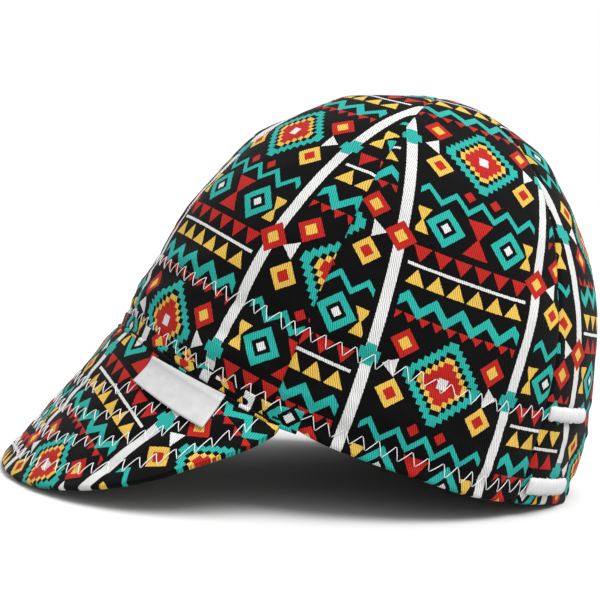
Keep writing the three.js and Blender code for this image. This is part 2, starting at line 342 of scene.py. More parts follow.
@dataclass
class Threads:
    """Sewing thread: strokes of one tube, each bent over the cloth between two needle holes."""

    radius: float = 0.17 * MM
    sides: int = 6
    rings: int = 6
    arch: float = 0.3 * MM
    sink: float = 0.3 * MM

    def template(self) -> tuple[Grid, list[tuple[int, ...]]]:
        """Models one stroke as a thin rod with rings along it.

        Returns:
            Its vertices, with Z from -0.5 to 0.5 along it, and its faces.
        """
        bpy.ops.object.select_all(action="DESELECT")
        bpy.ops.mesh.primitive_cylinder_add(vertices=self.sides, radius=1, depth=1, end_fill_type="TRIFAN")
        rod = bpy.context.object
        bpy.ops.object.mode_set(mode="EDIT")
        bpy.ops.mesh.select_mode(type="EDGE")
        bpy.ops.mesh.select_all(action="DESELECT")
        bpy.ops.object.mode_set(mode="OBJECT")
        for edge in rod.data.edges:
            ends = [rod.data.vertices[i].co.z for i in edge.vertices]
            edge.select = abs(ends[0] - ends[1]) > 0.5
        bpy.ops.object.mode_set(mode="EDIT")
        bpy.ops.mesh.subdivide(number_cuts=self.rings)
        bpy.ops.object.mode_set(mode="OBJECT")
        vertices = np.array([v.co[:] for v in rod.data.vertices])
        faces = [tuple(p.vertices) for p in rod.data.polygons]
        bpy.data.objects.remove(rod)
        return vertices, faces

    def sew(self, name: str, starts: Grid, ends: Grid, normals: Grid) -> bpy.types.Object:
        """Makes all the strokes of one run of stitches as one piece.

        Args:
            name: the piece's name.
            starts: where each stroke comes out of the cloth, in the frame.
            ends: where each stroke goes back in.
            normals: the cloth's outward direction under each stroke.

        Returns:
            The piece.
        """
        rod, faces = self.template()
        run = ends - starts
        along = unit(run)
        up = unit(normals - along * (normals * along).sum(-1, keepdims=True))
        aside = np.cross(along, up)
        share = rod[:, 2] + 0.5
        hump = np.sin(math.pi * share) ** 0.6 * (self.arch + self.sink) - self.sink
        ring = self.radius * (0.75 + 0.25 * np.sin(math.pi * share) ** 0.5)
        points = (
            starts[:, None]
            + run[:, None] * share[None, :, None]
            + up[:, None] * (hump + rod[:, 1] * ring)[None, :, None]
            + aside[:, None] * (rod[:, 0] * ring)[None, :, None]
        )
        count, size = len(starts), len(rod)
        order = [tuple(i + size * k for i in face) for k in range(count) for face in faces]
        piece = empty_mesh_object(name)
        points = points.reshape(-1, 3)
        points[:, 2] = np.maximum(points[:, 2], 0)
        piece.data.from_pydata(points.tolist(), [], order)
        piece.data.polygons.foreach_set("use_smooth", np.ones(len(order), bool))
        self._face_out(piece)
        return piece

    @staticmethod
    def _face_out(piece: bpy.types.Object) -> None:
        """Turns the faces of a piece outwards."""
        bpy.ops.object.select_all(action="DESELECT")
        piece.select_set(True)
        bpy.context.view_layer.objects.active = piece
        bpy.ops.object.mode_set(mode="EDIT")
        bpy.ops.mesh.select_all(action="SELECT")
        bpy.ops.mesh.normals_make_consistent(inside=False)
        bpy.ops.object.mode_set(mode="OBJECT")


class Wires:
    """Lays out math nodes in a tree, so that a pattern reads as a formula."""

    def __init__(self, tree: bpy.types.NodeTree) -> None:
        """Keeps the tree and starts its layout at the left."""
        self.tree = tree
        self.count = 0

    def node(self, kind: str, **settings: object) -> bpy.types.Node:
        """Adds a node and places it in the layout."""
        made = self.tree.nodes.new(kind)
        made.location = (180 * (self.count // 12), -160 * (self.count % 12))
        self.count += 1
        for name, value in settings.items():
            setattr(made, name, value)
        return made

    def put(self, socket: Socket, value: object) -> None:
        """Links a socket into an input, or sets the input to a value."""
        if isinstance(value, bpy.types.NodeSocket):
            self.tree.links.new(value, socket)
        else:
            socket.default_value = value

    def math(self, operation: str, *values: object) -> Socket:
        """Adds a math node and returns its result."""
        made = self.node("ShaderNodeMath", operation=operation)
        for socket, value in zip(made.inputs, values):
            self.put(socket, value)
        return made.outputs[0]

    def add(self, a: object, b: object) -> Socket:
        """Returns a + b."""
        return self.math("ADD", a, b)

    def sub(self, a: object, b: object) -> Socket:
        """Returns a - b."""
        return self.math("SUBTRACT", a, b)

    def mul(self, a: object, b: object) -> Socket:
        """Returns a * b."""
        return self.math("MULTIPLY", a, b)

    def off(self, a: object, b: object) -> Socket:
        """Returns the distance between a and b."""
        return self.math("ABSOLUTE", self.sub(a, b))

    def below(self, a: object, b: object) -> Socket:
        """Returns 1 where a is less than b."""
        return self.math("LESS_THAN", a, b)

    def both(self, *masks: Socket) -> Socket:
        """Returns 1 where all masks are 1."""
        result = masks[0]
        for mask in masks[1:]:
            result = self.mul(result, mask)
        return result

    def wrap(self, value: object, period: float) -> Socket:
        """Returns the value folded into 0 to period."""
        return self.math("WRAP", value, period, 0.0)

    def steps(self, value: object, size: float) -> Socket:
        """Returns the number of whole steps in a value."""
        return self.math("FLOOR", self.math("DIVIDE", value, size))

    def mix_color(self, factor: object, a: object, b: object) -> Socket:
        """Returns a blend of two colours."""
        made = self.node("ShaderNodeMix", data_type="RGBA")
        for socket, value in zip((made.inputs[0], made.inputs[6], made.inputs[7]), (factor, a, b)):
            self.put(socket, value)
        return made.outputs[2]

    def parts(self, vector: Socket) -> tuple[Socket, Socket]:
        """Returns the first two parts of a vector."""
        made = self.node("ShaderNodeSeparateXYZ")
        self.put(made.inputs[0], vector)
        return made.outputs[0], made.outputs[1]

    def noise(self, vector: Socket, scale: float, detail: float) -> bpy.types.Node:
        """Adds smooth noise over a vector."""
        made = self.node("ShaderNodeTexNoise")
        for name, value in (("Vector", vector), ("Scale", scale), ("Detail", detail)):
            self.put(made.inputs[name], value)
        return made

    def flat_cloth(self) -> Socket:
        """Returns the place on the flat cloth, in millimetres."""
        made = self.node("ShaderNodeMapping")
        self.put(made.inputs["Vector"], self.node("ShaderNodeUVMap", uv_map="cloth").outputs[0])
        made.inputs["Scale"].default_value = (CLOTH_UNIT / MM,) * 3
        return made.outputs[0]

    def relief(self, shader: bpy.types.Node, height: Socket, strength: float, depth: float) -> None:
        """Gives a shader a fine relief from a height."""
        made = self.node("ShaderNodeBump")
        made.inputs["Strength"].default_value = strength
        made.inputs["Distance"].default_value = depth
        self.put(made.inputs["Height"], height)
        self.put(shader.inputs["Normal"], made.outputs[0])


def new_group(name: str, inputs: dict[str, str], outputs: dict[str, str]) -> bpy.types.NodeTree:
    """Starts a shader node group with named sockets.

    Args:
        name: the group's name.
        inputs: socket names and their types.
        outputs: socket names and their types.

    Returns:
        The group's tree.
    """
    tree = bpy.data.node_groups.new(name, "ShaderNodeTree")
    for sockets, way in ((inputs, "INPUT"), (outputs, "OUTPUT")):
        for socket, kind in sockets.items():
            tree.interface.new_socket(name=socket, in_out=way, socket_type=kind)
    return tree


def new_cloth(name: str, sheen: float, gloss: float) -> tuple[bpy.types.Material, Wires, bpy.types.Node]:
    """Starts the material of a cloth.

    Args:
        name: the material's name.
        sheen: how much light its fibres catch from the side.
        gloss: how much light it reflects.

    Returns:
        The material, its wires and its shader.
    """
    material = bpy.data.materials.new(name)
    material.use_nodes = True
    shader = material.node_tree.nodes["Principled BSDF"]
    shader.location = (1400, 0)
    shader.inputs["Sheen Weight"].default_value = sheen
    shader.inputs["Specular IOR Level"].default_value = gloss
    return material, Wires(material.node_tree), shader


class Shape(Enum):
    """The simple figures that the print is made of."""

    DIAMOND = "a diamond"
    BLOCK = "an upright rectangle"
    STAIRS = "a diamond with stepped sides"
    POINT = "a triangle that points away from the middle of the column"
    TEETH = "a row of triangles across the column"
    ZIGZAG = "a zigzag line across the column"
    HOURGLASS = "two triangles that meet at their points"


@dataclass(frozen=True)
class Motif:
    """One figure of the print, in millimetres.

    across and along give its middle, from the middle of the column and from the foot of the repeat.
    width and height are its half sizes. A row of teeth stands on along, and width is half its pitch.
    """

    shape: Shape
    ink: Ink
    across: float
    along: float
    width: float
    height: float


@dataclass(frozen=True)
class PrintPattern:
    """The print: columns of stepped diamonds, zigzags and triangles between stripes, in millimetres."""

    column: float = 60.0
    repeat: float = 94.0
    stripe: float = 4.3
    margin: float = 4.6
    step: float = 2.0
    bleed: float = 0.13
    black: tuple[float, float, float] = (0.0010, 0.0010, 0.0010)
    white: tuple[float, float, float] = (0.77, 0.77, 0.76)
    teal: tuple[float, float, float] = (0.022, 0.43, 0.37)
    red: tuple[float, float, float] = (0.50, 0.018, 0.013)
    yellow: tuple[float, float, float] = (0.80, 0.51, 0.085)
    motifs: tuple[Motif, ...] = (
        Motif(Shape.STAIRS, Ink.TEAL, 0, 16, 16, 16),
        Motif(Shape.STAIRS, Ink.BLACK, 0, 16, 12, 12),
        Motif(Shape.STAIRS, Ink.YELLOW, 0, 16, 10, 10),
        Motif(Shape.STAIRS, Ink.RED, 0, 16, 8, 8),
        Motif(Shape.STAIRS, Ink.WHITE, 0, 16, 2, 2),
        Motif(Shape.POINT, Ink.WHITE, 19.0, 16, 5.5, 3.6),
        Motif(Shape.DIAMOND, Ink.YELLOW, 18.6, 6.4, 5.8, 5.8),
        Motif(Shape.DIAMOND, Ink.RED, 18.6, 6.4, 2.8, 2.8),
        Motif(Shape.DIAMOND, Ink.RED, 18.6, 25.6, 5.8, 5.8),
        Motif(Shape.DIAMOND, Ink.YELLOW, 18.6, 25.6, 2.8, 2.8),
        Motif(Shape.TEETH, Ink.RED, 0, 36.4, 2.8, -3.2),
        Motif(Shape.ZIGZAG, Ink.TEAL, 0, 40.4, 5.6, 2.1),
        Motif(Shape.TEETH, Ink.YELLOW, 0, 47.8, 4.2, 6.2),
        Motif(Shape.BLOCK, Ink.WHITE, 0, 55.4, 26, 0.6),
        Motif(Shape.TEETH, Ink.RED, 0, 63.0, 4.2, -6.2),
        Motif(Shape.HOURGLASS, Ink.RED, 0, 73.6, 5.2, 7.6),
        Motif(Shape.DIAMOND, Ink.TEAL, 13.6, 73.6, 8.2, 8.2),
        Motif(Shape.DIAMOND, Ink.BLACK, 13.6, 73.6, 4.4, 4.4),
        Motif(Shape.DIAMOND, Ink.WHITE, 13.6, 73.6, 2.2, 2.2),
        Motif(Shape.HOURGLASS, Ink.YELLOW, 23.2, 73.6, 2.8, 5.2),
        Motif(Shape.ZIGZAG, Ink.TEAL, 0, 86.0, 5.6, 1.4),
        Motif(Shape.DIAMOND, Ink.RED, 5.6, 90.6, 2.6, 2.6),
    )
    # Small figures on the stripes. Here across is measured from the middle of the stripe.
    stripe_motifs: tuple[Motif, ...] = (
        Motif(Shape.STAIRS, Ink.TEAL, 0, 17, 5, 5),
        Motif(Shape.DIAMOND, Ink.RED, 0, 64, 6.4, 6.4),
        Motif(Shape.DIAMOND, Ink.YELLOW, 0, 64, 2.8, 2.8),
    )

    def build(self) -> bpy.types.NodeTree:
        """Returns the group that paints the print from the cloth's flat coordinates."""
        vector, colour, value = "NodeSocketVector", "NodeSocketColor", "NodeSocketFloat"
        tree = new_group("cap_print", {"Cloth": vector}, {"Color": colour, "Inked": value})
        wires = Wires(tree)
        given = wires.node("NodeGroupInput")
        x, y = self._bled(wires, given.outputs["Cloth"])
        turn = wires.math("FLOOR", wires.math("DIVIDE", x, self.column))
        odd = wires.math("WRAP", turn, 2.0, 0.0)
        across = wires.sub(wires.wrap(x, self.column), self.column / 2)
        side = wires.math("ABSOLUTE", across)
        up = wires.wrap(wires.add(y, wires.mul(odd, self.repeat / 2)), self.repeat)
        edge = wires.sub(self.column / 2, side)
        ink: object = 0.0
        inside = wires.below(side, self.column / 2 - self.margin)
        for motif in self.motifs:
            mask = wires.both(self._mask(wires, motif, side, across, up), inside)
            ink = self._laid(wires, ink, mask, motif.ink)
        ink = self._laid(wires, ink, wires.below(edge, self.stripe / 2), Ink.WHITE)
        even = wires.wrap(y, self.repeat)
        for motif in self.stripe_motifs:
            ink = self._laid(wires, ink, self._mask(wires, motif, edge, edge, even), motif.ink)
        result = wires.node("NodeGroupOutput")
        wires.put(result.inputs["Color"], self._inks(wires, ink))
        wires.put(result.inputs["Inked"], wires.math("GREATER_THAN", ink, 0.5))
        return tree

    @staticmethod
    def _laid(wires: Wires, ink: object, mask: Socket, color: Ink) -> Socket:
        """Returns the ink's number with one more figure printed over it."""
        kept = wires.mul(ink, wires.sub(1.0, mask))
        return wires.math("MULTIPLY_ADD", mask, float(color.value), kept)

    def _inks(self, wires: Wires, ink: Socket) -> Socket:
        """Returns the colour of an ink's number."""
        ramp = wires.node("ShaderNodeValToRGB")
        ramp.color_ramp.interpolation = "CONSTANT"
        stops = ramp.color_ramp.elements
        colors = [self.black, self.white, self.teal, self.red, self.yellow]
        while len(stops) < len(colors):
            stops.new(1.0)
        for place, color in enumerate(colors):
            stops[place].position = max(0.0, (place - 0.5) / len(colors))
            stops[place].color = (*color, 1.0)
        wires.put(ramp.inputs[0], wires.math("DIVIDE", ink, float(len(colors))))
        return ramp.outputs[0]

    def _bled(self, wires: Wires, cloth: Socket) -> tuple[Socket, Socket]:
        """Returns the cloth's two coordinates, shifted a little as ink runs along the threads."""
        x, y = wires.parts(cloth)
        shift = wires.parts(wires.noise(cloth, 1.3, 2.0).outputs["Color"])
        moved = [wires.mul(wires.sub(part, 0.5), self.bleed * 4) for part in shift]
        return wires.add(x, moved[0]), wires.add(y, moved[1])

    def _mask(self, wires: Wires, motif: Motif, side: Socket, across: Socket, up: Socket) -> Socket:
        """Draws one figure.

        Args:
            wires: the tree's wires.
            motif: the figure.
            side: distance from the middle of the column.
            across: place across the column, with its sign.
            up: place along the repeat.

        Returns:
            A socket that is 1 inside the figure.
        """
        beside, above = wires.off(side, motif.across), wires.off(up, motif.along)
        if motif.shape is Shape.BLOCK:
            return wires.both(wires.below(beside, motif.width), wires.below(above, motif.height))
        if motif.shape is Shape.STAIRS:
            stairs = wires.add(wires.steps(beside, self.step), wires.steps(above, self.step))
            return wires.below(stairs, motif.width / self.step - 0.5)
        if motif.shape in (Shape.DIAMOND, Shape.POINT):
            reach = wires.add(wires.mul(beside, 1 / motif.width), wires.mul(above, 1 / motif.height))
            diamond = wires.below(reach, 1.0)
            if motif.shape is Shape.DIAMOND:
                return diamond
            return wires.both(diamond, wires.below(motif.across, side))
        if motif.shape is Shape.HOURGLASS:
            waist = wires.math("MULTIPLY_ADD", above, motif.width / motif.height, 0.3)
            return wires.both(wires.below(beside, waist), wires.below(above, motif.height))
        pitch = 2 * motif.width
        tooth = wires.off(wires.wrap(wires.add(across, 5 * pitch), pitch), motif.width)
        if motif.shape is Shape.TEETH:
            climb = wires.mul(wires.sub(up, motif.along), 1 / motif.height)
            reach = wires.add(climb, wires.mul(tooth, 1.12 / motif.width))
            return wires.both(wires.below(reach, 1.0), wires.below(0.0, climb))
        return wires.below(wires.off(up, wires.add(tooth, motif.along - motif.width / 2)), motif.height)


@dataclass(frozen=True)
class TwillWeave:
    """Fine slanting ridges of twill, in millimetres of cloth."""

    pitch: float = 0.8
    slant: float = math.radians(24)
    float_length: float = 1.5

    def build(self) -> bpy.types.NodeTree:
        """Returns the group that gives the ridges' height and the lines between them, where painted shade
        goes.
        """
        vector, value = "NodeSocketVector", "NodeSocketFloat"
        tree = new_group("cap_twill", {"Cloth": vector}, {"Height": value, "Line": value})
        wires = Wires(tree)
        given = wires.node("NodeGroupInput")
        x, y = wires.parts(given.outputs["Cloth"])
        wander = wires.noise(given.outputs["Cloth"], 0.35, 2.0)
        lean = wires.add(wires.mul(x, math.cos(self.slant)), wires.mul(y, math.sin(self.slant)))
        lean = wires.add(lean, wires.mul(wander.outputs["Fac"], 0.9))
        ridge = wires.math("SINE", wires.mul(lean, 2 * math.pi / self.pitch))
        thread = wires.math("SINE", wires.mul(y, 2 * math.pi / self.float_length * 3))
        height = wires.add(wires.mul(ridge, 0.5), wires.mul(thread, 0.16))
        line = wires.node("ShaderNodeMapRange", interpolation_type="SMOOTHSTEP")
        for name, amount in (("From Min", -0.95), ("From Max", 0.25), ("To Min", 1.0), ("To Max", 0.0)):
            wires.put(line.inputs[name], amount)
        wires.put(line.inputs["Value"], ridge)
        result = wires.node("NodeGroupOutput")
        wires.put(result.inputs["Height"], height)
        wires.put(result.inputs["Line"], line.outputs[0])
        return tree


@dataclass(frozen=True)
class PrintedTwill:
    """The cap's cloth: ink on black twill, or its paler reverse, with a painted highlight on the twill's
    ridges and painted shade in its grooves.
    """

    name: str
    pattern: bpy.types.NodeTree
    weave: bpy.types.NodeTree
    fade: float = 0.0
    ground: tuple[float, float, float] = (0.045, 0.044, 0.046)
    # Painted shade: the dark that the twill's grooves are darkened towards, and how far; the random
    # mottling darkens towards it too.
    groove: tuple[float, float, float] = (0.004, 0.004, 0.004)
    groove_shade_depth: float = 0.56
    # Painted highlight: the grey that the twill's ridges are lightened towards, and how far, as if they
    # caught the light.
    ridge: tuple[float, float, float] = (0.04, 0.04, 0.039)
    ridge_highlight: float = 0.05
    roughness: float = 0.55
    sheen: float = 0.02
    gloss: float = 0.015
    bump: float = 0.9

    def build(self) -> bpy.types.Material:
        """Returns the material."""
        material, wires, shader = new_cloth(self.name, self.sheen, self.gloss)
        cloth = wires.flat_cloth()
        pattern = wires.node("ShaderNodeGroup", node_tree=self.pattern)
        weave = wires.node("ShaderNodeGroup", node_tree=self.weave)
        for group in (pattern, weave):
            wires.put(group.inputs["Cloth"], cloth)
        color = wires.mix_color(self.fade, pattern.outputs["Color"], (*self.ground, 1))
        uneven = wires.noise(cloth, 0.05, 6.0)
        shade = wires.math("MULTIPLY_ADD", uneven.outputs["Fac"], -0.3, 0.3)
        color = wires.mix_color(shade, color, (*self.groove, 1))
        # Painted highlight: the ridges are lightened a little towards grey, as if they caught the light.
        highlight_on_ridges = wires.mul(wires.sub(1.0, weave.outputs["Line"]), self.ridge_highlight)
        color = wires.mix_color(highlight_on_ridges, color, (*self.ridge, 1))
        # Painted shade: the grooves between the ridges are darkened, as if shaded.
        groove_shade = wires.mul(weave.outputs["Line"], self.groove_shade_depth)
        color = wires.mix_color(groove_shade, color, (*self.groove, 1))
        wires.put(shader.inputs["Base Color"], color)
        inked = wires.math("MULTIPLY_ADD", pattern.outputs["Inked"], -0.1, self.roughness)
        wires.put(shader.inputs["Roughness"], inked)
        wires.relief(shader, weave.outputs["Height"], self.bump, 0.12 * MM)
        return material


@dataclass(frozen=True)
class PlainCotton:
    """Plain cloth or thread with a fine grain."""

    name: str
    color: tuple[float, float, float]
    shade: tuple[float, float, float]
    grain: float = 1 / (0.5 * MM)
    roughness: float = 0.7
    sheen: float = 0.1
    gloss: float = 0.35
    bump: float = 0.4

    def build(self) -> bpy.types.Material:
        """Returns the material."""
        material, wires, shader = new_cloth(self.name, self.sheen, self.gloss)
        grain = wires.noise(wires.node("ShaderNodeTexCoord").outputs["Object"], self.grain, 3.0)
        color = wires.mix_color(grain.outputs["Fac"], (*self.color, 1), (*self.shade, 1))
        wires.put(shader.inputs["Base Color"], color)
        spread = wires.math("MULTIPLY_ADD", grain.outputs["Fac"], 0.15, self.roughness)
        wires.put(shader.inputs["Roughness"], spread)
        wires.relief(shader, grain.outputs["Fac"], self.bump, 0.1 * MM)
        return material


@dataclass(frozen=True)
class Satin:
    """White satin with fine ribs along one direction of its flat cloth, darkened with painted shade in the
    ribs' hollows and in soft blotches.
    """

    name: str
    color: tuple[float, float, float] = (0.56, 0.56, 0.56)
    # shade: the colour of the painted shade in the rib hollows and blotches.
    shade: tuple[float, float, float] = (0.30, 0.30, 0.31)
    rib: float = 0.4
    roughness: float = 0.38
    sheen: float = 0.0
    gloss: float = 0.3
    bump: float = 0.25

    def build(self) -> bpy.types.Material:
        """Returns the material."""
        material, wires, shader = new_cloth(self.name, self.sheen, self.gloss)
        cloth = wires.flat_cloth()
        x, y = wires.parts(cloth)
        rib = wires.math("SINE", wires.mul(y, 2 * math.pi / self.rib))
        cross = wires.math("SINE", wires.mul(x, 2 * math.pi / (self.rib * 1.4)))
        height = wires.add(wires.mul(rib, 0.4), wires.mul(cross, 0.2))
        # Painted shade: the ribs' low sides and soft blotches are darkened towards the shade colour; the
        # blotches also vary the roughness.
        painted_shade_blotches = wires.noise(cloth, 0.25, 5.0)
        dark = wires.math("MULTIPLY_ADD", height, -0.25, wires.mul(painted_shade_blotches.outputs["Fac"], 0.4))
        color = wires.mix_color(dark, (*self.color, 1), (*self.shade, 1))
        wires.put(shader.inputs["Base Color"], color)
        worn = wires.math("MULTIPLY_ADD", painted_shade_blotches.outputs["Fac"], 0.2, self.roughness)
        wires.put(shader.inputs["Roughness"], worn)
        wires.relief(shader, height, self.bump, 0.1 * MM)
        return material


@dataclass
class Finishes:
    """All the cap's materials, built once."""

    twill: bpy.types.Material = field(init=False)
    reverse: bpy.types.Material = field(init=False)
    band: bpy.types.Material = field(init=False)
    satin: bpy.types.Material = field(init=False)
    label: bpy.types.Material = field(init=False)
    thread: bpy.types.Material = field(init=False)

    def __post_init__(self) -> None:
        """Builds the materials."""
        pattern, weave = PrintPattern().build(), TwillWeave().build()
        self.twill = PrintedTwill("printed_twill", pattern, weave).build()
        self.reverse = PrintedTwill("printed_twill_reverse", pattern, weave, fade=0.72).build()
        self.band = PlainCotton("band_cotton", (0.02, 0.02, 0.021), (0.008, 0.008, 0.009)).build()
        self.satin = Satin("white_satin").build()
        # The label's satin has a deeper painted shade than the bars'.
        self.label = Satin("label_satin", (0.47, 0.47, 0.47), (0.15, 0.15, 0.155), bump=0.4).build()
        thread = ((0.74, 0.74, 0.74), (0.56, 0.56, 0.56))
        self.thread = PlainCotton("white_thread", *thread, roughness=0.55, sheen=0.2).build()


@dataclass
class Crown:
    """The crown's six gores and the two rows of stitches round its hem."""

    form: CapForm
    weaver: Weaver
    finishes: Finishes
    columns: int = 84
    low_rows: int = 34
    high_rows: int = 92
    low_zone: float = 48 * MM
    edge_spread: float = 0.94
    tip_spread: float = 0.001
    seam_inset: float = 0.03 * MM
    allowance: float = 0.5 * MM
    allowance_width: float = 6 * MM
    allowance_low: float = 36 * MM
    groove: float = 0.75 * MM
    groove_width: float = 1.1 * MM
    shoulder: float = 0.3 * MM
    shoulder_width: float = 13 * MM
    row_dip: float = 0.8 * MM
    row_width: float = 3.2 * MM
    edge_round: float = 1.0 * MM
    lump: float = 1.0 * MM
    lump_size: float = 42 * MM
    small_lump: float = 0.35 * MM
    small_lump_size: float = 14 * MM
    crease: float = 0.55 * MM
    crease_size: float = 9 * MM
    # Where the edge of the hem is drawn up: degrees from the front, rise and width in degrees.
    nicks: tuple[tuple[float, float, float], ...] = ((118.5, 1.5 * MM, 0.7), (64.0, 1.0 * MM, 4.0))
    sag: float = 1.0 * MM
    sag_start: float = 92.0
    gather_start: float = 142.0
    gather_count: int = 7
    gather_rise: float = 1.3 * MM
    gather_height: float = 42 * MM
    zigzag_pitch: float = 6.5 * MM
    zigzag_height: float = 5.3 * MM
    zigzag_lean: float = 0.41
    swells: tuple[Swell, ...] = (
        Swell(-9, 94 * MM, 1.0 * MM, 8 * MM),
        Swell(-16, 112 * MM, -3.4 * MM, 12 * MM),
        Swell(-12, 38 * MM, -3.3 * MM, 13 * MM),
        Swell(-10, 66 * MM, -1.0 * MM, 14 * MM),
        Swell(-2, 131 * MM, -2.2 * MM, 13 * MM),
        Swell(122, 142 * MM, 0.7 * MM, 17 * MM),
        Swell(-122, 142 * MM, 0.7 * MM, 17 * MM),
        Swell(150, 128 * MM, 1.8 * MM, 12 * MM),
        Swell(150, 106 * MM, -0.9 * MM, 13 * MM),
        Swell(156, 54 * MM, -1.5 * MM, 14 * MM),
        Swell(66, 92 * MM, 0.9 * MM, 24 * MM),
        Swell(46, 60 * MM, 1.3 * MM, 17 * MM),
        Swell(50, 38 * MM, -1.5 * MM, 15 * MM),
        Swell(96, 60 * MM, -0.8 * MM, 22 * MM),
        Swell(-66, 92 * MM, 0.9 * MM, 24 * MM),
        Swell(-100, 64 * MM, -0.8 * MM, 22 * MM),
    )
    folds: tuple[Fold, ...] = (
        Fold(Side.LEFT, 2, 12.25 * MM, 24, 25.2 * MM, 2.2 * MM, 4.4 * MM),
        Fold(Side.LEFT, 5, 28 * MM, 30, 42 * MM, 1.8 * MM, 4.8 * MM),
        Fold(Side.LEFT, 34, 10.5 * MM, 52, 17.5 * MM, 1.4 * MM, 4.4 * MM),
        Fold(Side.LEFT, 68, 15.75 * MM, 92, 21 * MM, 0.9 * MM, 4.8 * MM),
        Fold(Side.LEFT, 96, 45.5 * MM, 112, 73.5 * MM, 1.0 * MM, 6.4 * MM),
        Fold(Side.RIGHT, 14, 17.5 * MM, 36, 27 * MM, 1.2 * MM, 4.4 * MM),
        Fold(Side.RIGHT, 36, 12.25 * MM, 55, 17.5 * MM, 1.0 * MM, 4.4 * MM),
        Fold(Side.RIGHT, 72, 17.5 * MM, 95, 21 * MM, 0.9 * MM, 4.8 * MM),
    )
    # Where each gore was cut from the cloth: across, along, whether it lies upside down, and its slant.
    cuts: dict[str, tuple[float, float, int, float]] = field(
        default_factory=lambda: {
            "front_left": (41, 4, 1, 0),
            "side_left": (28, 74, 1, 0),
            "back_left": (31, 30, -1, 0),
            "front_right": (-3.5, 2, -1, -15),
            "side_right": (34, 20, 1, 0),
            "back_right": (28, 70, -1, 0),
        }
    )

    def fold_rise(self, angle: Grid, height: Grid) -> Grid:
        """Returns how far the folds and gathers push the cloth out."""
        mean = self.form.mean_radius
        turn = (angle + math.pi) % (2 * math.pi) - math.pi
        rise = np.zeros(np.broadcast(angle, height).shape)
        for fold in self.folds:
            start = np.array([math.radians(fold.start) * mean, fold.low])
            run = np.array([math.radians(fold.end) * mean, fold.high]) - start
            here = np.stack(np.broadcast_arrays(fold.side.value * turn * mean, height), -1) - start
            share = np.clip(here @ run / (run @ run), 0, 1)
            away = np.linalg.norm(here - share[..., None] * run, axis=-1) / fold.width
            rise = rise + fold.rise * np.sin(math.pi * (0.15 + 0.7 * share)) * np.exp(-(away**2))
        behind = np.degrees(np.abs(turn)) - self.gather_start
        reach = 180 - self.gather_start
        gather = ease(behind / (reach / 4)) * (1 - ease(height / self.gather_height - 0.2))
        wave = np.sin(behind / reach * math.pi * self.gather_count / 2) ** 2
        return rise + self.gather_rise * gather * wave

    def outside(self, angle: Grid, spread: Grid, raised: Grid | float = 0.0) -> Grid:
        """Gives the outer face of the cloth with its seams, folds, rows and small dents.

        Args:
            angle: turn from the middle of the front, in radians.
            spread: 1 at the hem and 0 where the gores meet.
            raised: a further distance outwards.

        Returns:
            Points in the plane of the hem.
        """
        point, normal = self.form.crown(angle, spread)
        height = point[..., 2] - self.form.hem_height(angle)
        seam = self.form.seam_distance(angle, spread)
        upper = self.form.upper_row_at(angle)
        band = 1 - ease((height - upper) / (6 * MM))
        dip = self.groove * np.exp(-((seam / self.groove_width) ** 2))
        dip = dip + self.shoulder * (1 - ease(seam / self.shoulder_width)) * (1 - 0.6 * band)
        for row in (self.form.lower_row, upper):
            near = np.exp(-(((height - row) / self.row_width) ** 2))
            pucker = 0.5 + 0.5 * np.sin(angle * self.form.half_length / self.zigzag_pitch * 2 * math.pi)
            dip = dip + near * (self.row_dip + 0.12 * MM * pucker)
        under = np.clip(self.edge_round - height, 0, self.edge_round)
        dip = dip + self.edge_round - np.sqrt(np.maximum(self.edge_round**2 - under**2, 0))
        lumps = self.lump * rough(point, self.lump_size, 3.1)
        lumps = lumps + self.small_lump * rough(point, self.small_lump_size, 7.7)
        flattened = point * np.array([1, 1, 2.2])
        crease = self.crease * rough(flattened, self.crease_size, 12.3) * (0.35 + 0.65 * band)
        rise = self.fold_rise(angle, height) + self.swell_rise(point) + lumps + crease - dip + raised
        return self.sagged(point + normal * rise[..., None], angle, height)

    def swell_rise(self, point: Grid) -> Grid:
        """Returns how far the wide bulges and hollows move the cloth out."""
        rise = np.zeros(point.shape[:-1])
        for swell in self.swells:
            angle = np.array(math.radians(swell.angle))
            middle = self.form.crown(angle, self.form.spread_at(angle, np.array(swell.height)))[0]
            away = np.linalg.norm(point - middle, axis=-1) / swell.size
            rise = rise + swell.rise * np.exp(-(away**2))
        return rise

    def sagged(self, point: Grid, angle: Grid, height: Grid) -> Grid:
        """Lets the edge of the hem hang over the elastic, and draws it up where elastic and bill end."""
        turn = np.degrees(np.abs(np.arctan2(np.sin(angle), np.cos(angle))))
        hang = self.sag * ease((turn - self.sag_start) / 14) * (1 - ease((turn - 146) / 12))
        drawn = sum(rise * np.exp(-(((turn - place) / width) ** 2)) for place, rise, width in self.nicks)
        moved = point.copy()
        moved[..., 2] += (drawn - hang) * (1 - ease(height / (7 * MM)))
        return moved

    def _spreads(self, angle: Grid) -> Grid:
        """Returns the spread of each row of points of a gore at each column's angle."""
        heights = self.low_zone * np.linspace(0, 1, self.low_rows) ** 1.25
        low = self.form.spread_at(angle[None, :], heights[:, None])
        climb = np.arange(1, self.high_rows + 1) / self.high_rows
        shrink = np.sin((1 - climb) * math.asin(self.edge_spread)) / self.edge_spread
        high = np.maximum(low[-1:] * shrink[:, None], self.tip_spread)
        return np.concatenate([low, high])

